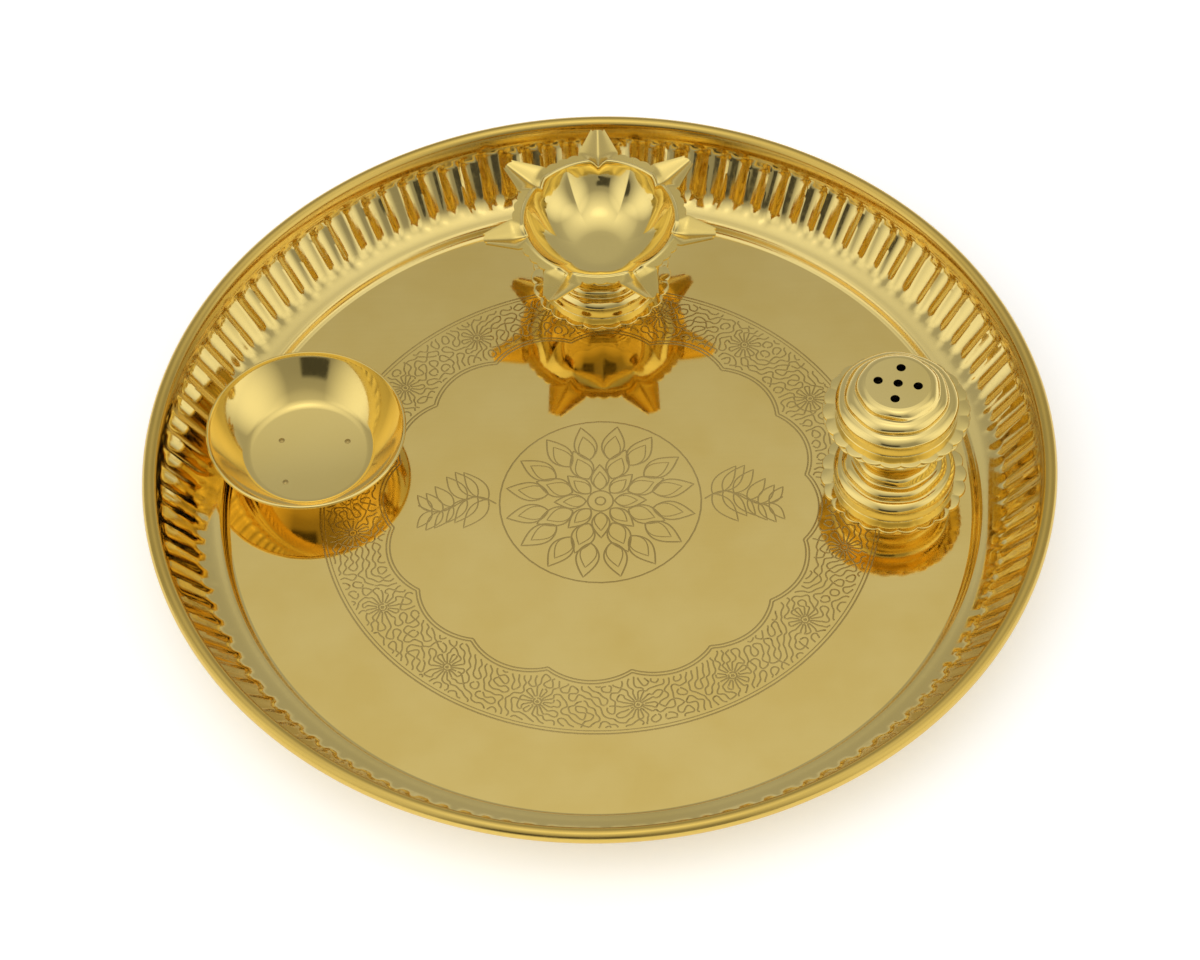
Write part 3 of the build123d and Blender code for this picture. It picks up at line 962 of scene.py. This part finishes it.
def add_floor():
    """Plain white floor under the tray."""
    mesh = bpy.data.meshes.new("floor")
    half = FLOOR_HALF * MM
    corners = [(-half, -half, 0), (half, -half, 0), (half, half, 0), (-half, half, 0)]
    mesh.from_pydata(corners, [], [(0, 1, 2, 3)])
    floor = bpy.data.objects.new("floor", mesh)
    bpy.context.scene.collection.objects.link(floor)
    floor.location.z = -FLOOR_GAP * MM
    material, tree, shader = node_tree("floor_white")
    coordinate = tree.nodes.new("ShaderNodeTexCoord").outputs["Object"]
    noise = noise_at(tree, coordinate, FLOOR_NOISE_SCALE, EVEN, FLOOR_NOISE_DETAIL)
    shade = ranged(tree, noise, *FLOOR_SHADES)
    tree.links.new(shade, shader.inputs["Base Color"])
    shader.inputs["Roughness"].default_value = FLOOR_ROUGHNESS
    shader.inputs["Specular IOR Level"].default_value = 0.0
    rays = tree.nodes.new("ShaderNodeLightPath").outputs
    seen = calculated(tree, "MAXIMUM", rays["Is Camera Ray"], rays["Is Glossy Ray"])
    seen = calculated(tree, "MAXIMUM", seen, rays["Is Transmission Ray"])
    shader.inputs["Emission Color"].default_value = (1, 1, 1, 1)
    tree.links.new(calculated(tree, "MULTIPLY", seen, FLOOR_GLOW), shader.inputs["Emission Strength"])
    mesh.materials.append(material)


def towards(tree, direction, aim):
    """Cosine of the angle between a direction and an aim."""
    cosine = tree.nodes.new("ShaderNodeVectorMath")
    cosine.operation = "DOT_PRODUCT"
    cosine.inputs[1].default_value = aim
    tree.links.new(direction, cosine.inputs[0])
    return cosine.outputs["Value"]


def set_world():
    """Light tent: bright overhead and at both sides, and dimmer in front, with a dark figure there."""
    world = bpy.data.worlds.new("studio")
    bpy.context.scene.world = world
    world.use_nodes = True
    tree = world.node_tree
    direction = tree.nodes.new("ShaderNodeTexCoord").outputs["Generated"]
    ramp = tree.nodes.new("ShaderNodeValToRGB")
    elements = ramp.color_ramp.elements
    elements.remove(elements[-1])
    for number, (cosine, light) in enumerate(OVERHEAD_STOPS):
        place = (cosine + 1) / 2
        stop = elements.new(place) if number else elements[0]
        stop.position = place
        stop.color = (light, light, light, 1)
    tree.links.new(ranged(tree, towards(tree, direction, OVERHEAD), 0, 1, -1, 1), ramp.inputs["Fac"])
    parts = tree.nodes.new("ShaderNodeSeparateXYZ")
    tree.links.new(direction, parts.inputs["Vector"])
    x, y, z = (parts.outputs[axis] for axis in "XYZ")
    mirrored = tree.nodes.new("ShaderNodeVectorMath")
    mirrored.operation = "MULTIPLY"
    mirrored.inputs[1].default_value = (-1, 1, 1)
    tree.links.new(direction, mirrored.inputs[0])
    light = ramp.outputs["Color"]
    for side in (direction, mirrored.outputs["Vector"]):
        glow = ranged(tree, towards(tree, side, SIDE_TOWARDS), 0, SIDE_LIGHT, SIDE_EDGE, SIDE_CORE)
        light = calculated(tree, "ADD", light, glow)
    aside = calculated(tree, "ADD", calculated(tree, "DIVIDE", x, y), FIGURE_SHIFT)
    aside = calculated(tree, "ABSOLUTE", aside)
    figure = ranged(tree, aside, FIGURE_SHADE, 0, FIGURE_HALF - FIGURE_SOFT, FIGURE_HALF + FIGURE_SOFT)
    for value, first, last, edge in ((y, 1, 0, FIGURE_NEAR), (z, 0, 1, FIGURE_LOW), (z, 1, 0, FIGURE_HIGH)):
        part = ranged(tree, value, first, last, edge - FIGURE_SOFT, edge + FIGURE_SOFT)
        figure = calculated(tree, "MULTIPLY", figure, part)
    front = ranged(tree, y, FRONT_SHADE, 1, FRONT_FAR, FRONT_NEAR)
    for kept in (calculated(tree, "SUBTRACT", 1.0, figure), front):
        light = calculated(tree, "MULTIPLY", light, kept)
    tree.links.new(light, tree.nodes["Background"].inputs["Color"])


def add_light(name, place, size, power):
    """Square soft light that shines at the middle of the tray and isn't seen in the metal."""
    lamp = bpy.data.lights.new(name, "AREA")
    lamp.size = size * MM
    lamp.energy = power
    light = bpy.data.objects.new(name, lamp)
    light.visible_glossy = False
    light.location = Vector(place) * MM
    light.rotation_euler = (-light.location).to_track_quat("-Z", "Y").to_euler()
    bpy.context.scene.collection.objects.link(light)


def add_camera():
    """The camera of the photograph."""
    camera = bpy.data.cameras.new("camera")
    camera.sensor_width = SENSOR_WIDTH
    camera.lens = SENSOR_WIDTH * CAMERA_FOCAL_PIXELS / PHOTO_WIDTH
    camera.clip_start = CLIP_START
    camera.clip_end = CLIP_END
    cp, sp = math.cos(CAMERA_PITCH), math.sin(CAMERA_PITCH)
    cy, sy = math.cos(CAMERA_YAW), math.sin(CAMERA_YAW)
    cr, sr = math.cos(CAMERA_ROLL), math.sin(CAMERA_ROLL)
    ahead = Vector((sy * cp, cy * cp, -sp))
    level = Vector((cy, -sy, 0))
    down = ahead.cross(level)
    right = cr * level + sr * down
    below = -sr * level + cr * down
    turn = Matrix((right, -below, -ahead)).transposed().to_4x4()
    place = Vector(CAMERA_PLACE) + Vector((0, 0, TRAY_SHEET))
    holder = bpy.data.objects.new("camera", camera)
    holder.matrix_world = Matrix.Translation(place * MM) @ turn
    bpy.context.scene.collection.objects.link(holder)
    bpy.context.scene.camera = holder


add_floor()
set_world()
add_light("key", KEY_PLACE, KEY_SIZE, KEY_POWER)
add_camera()
bpy.context.scene.view_settings.view_transform = "Standard"
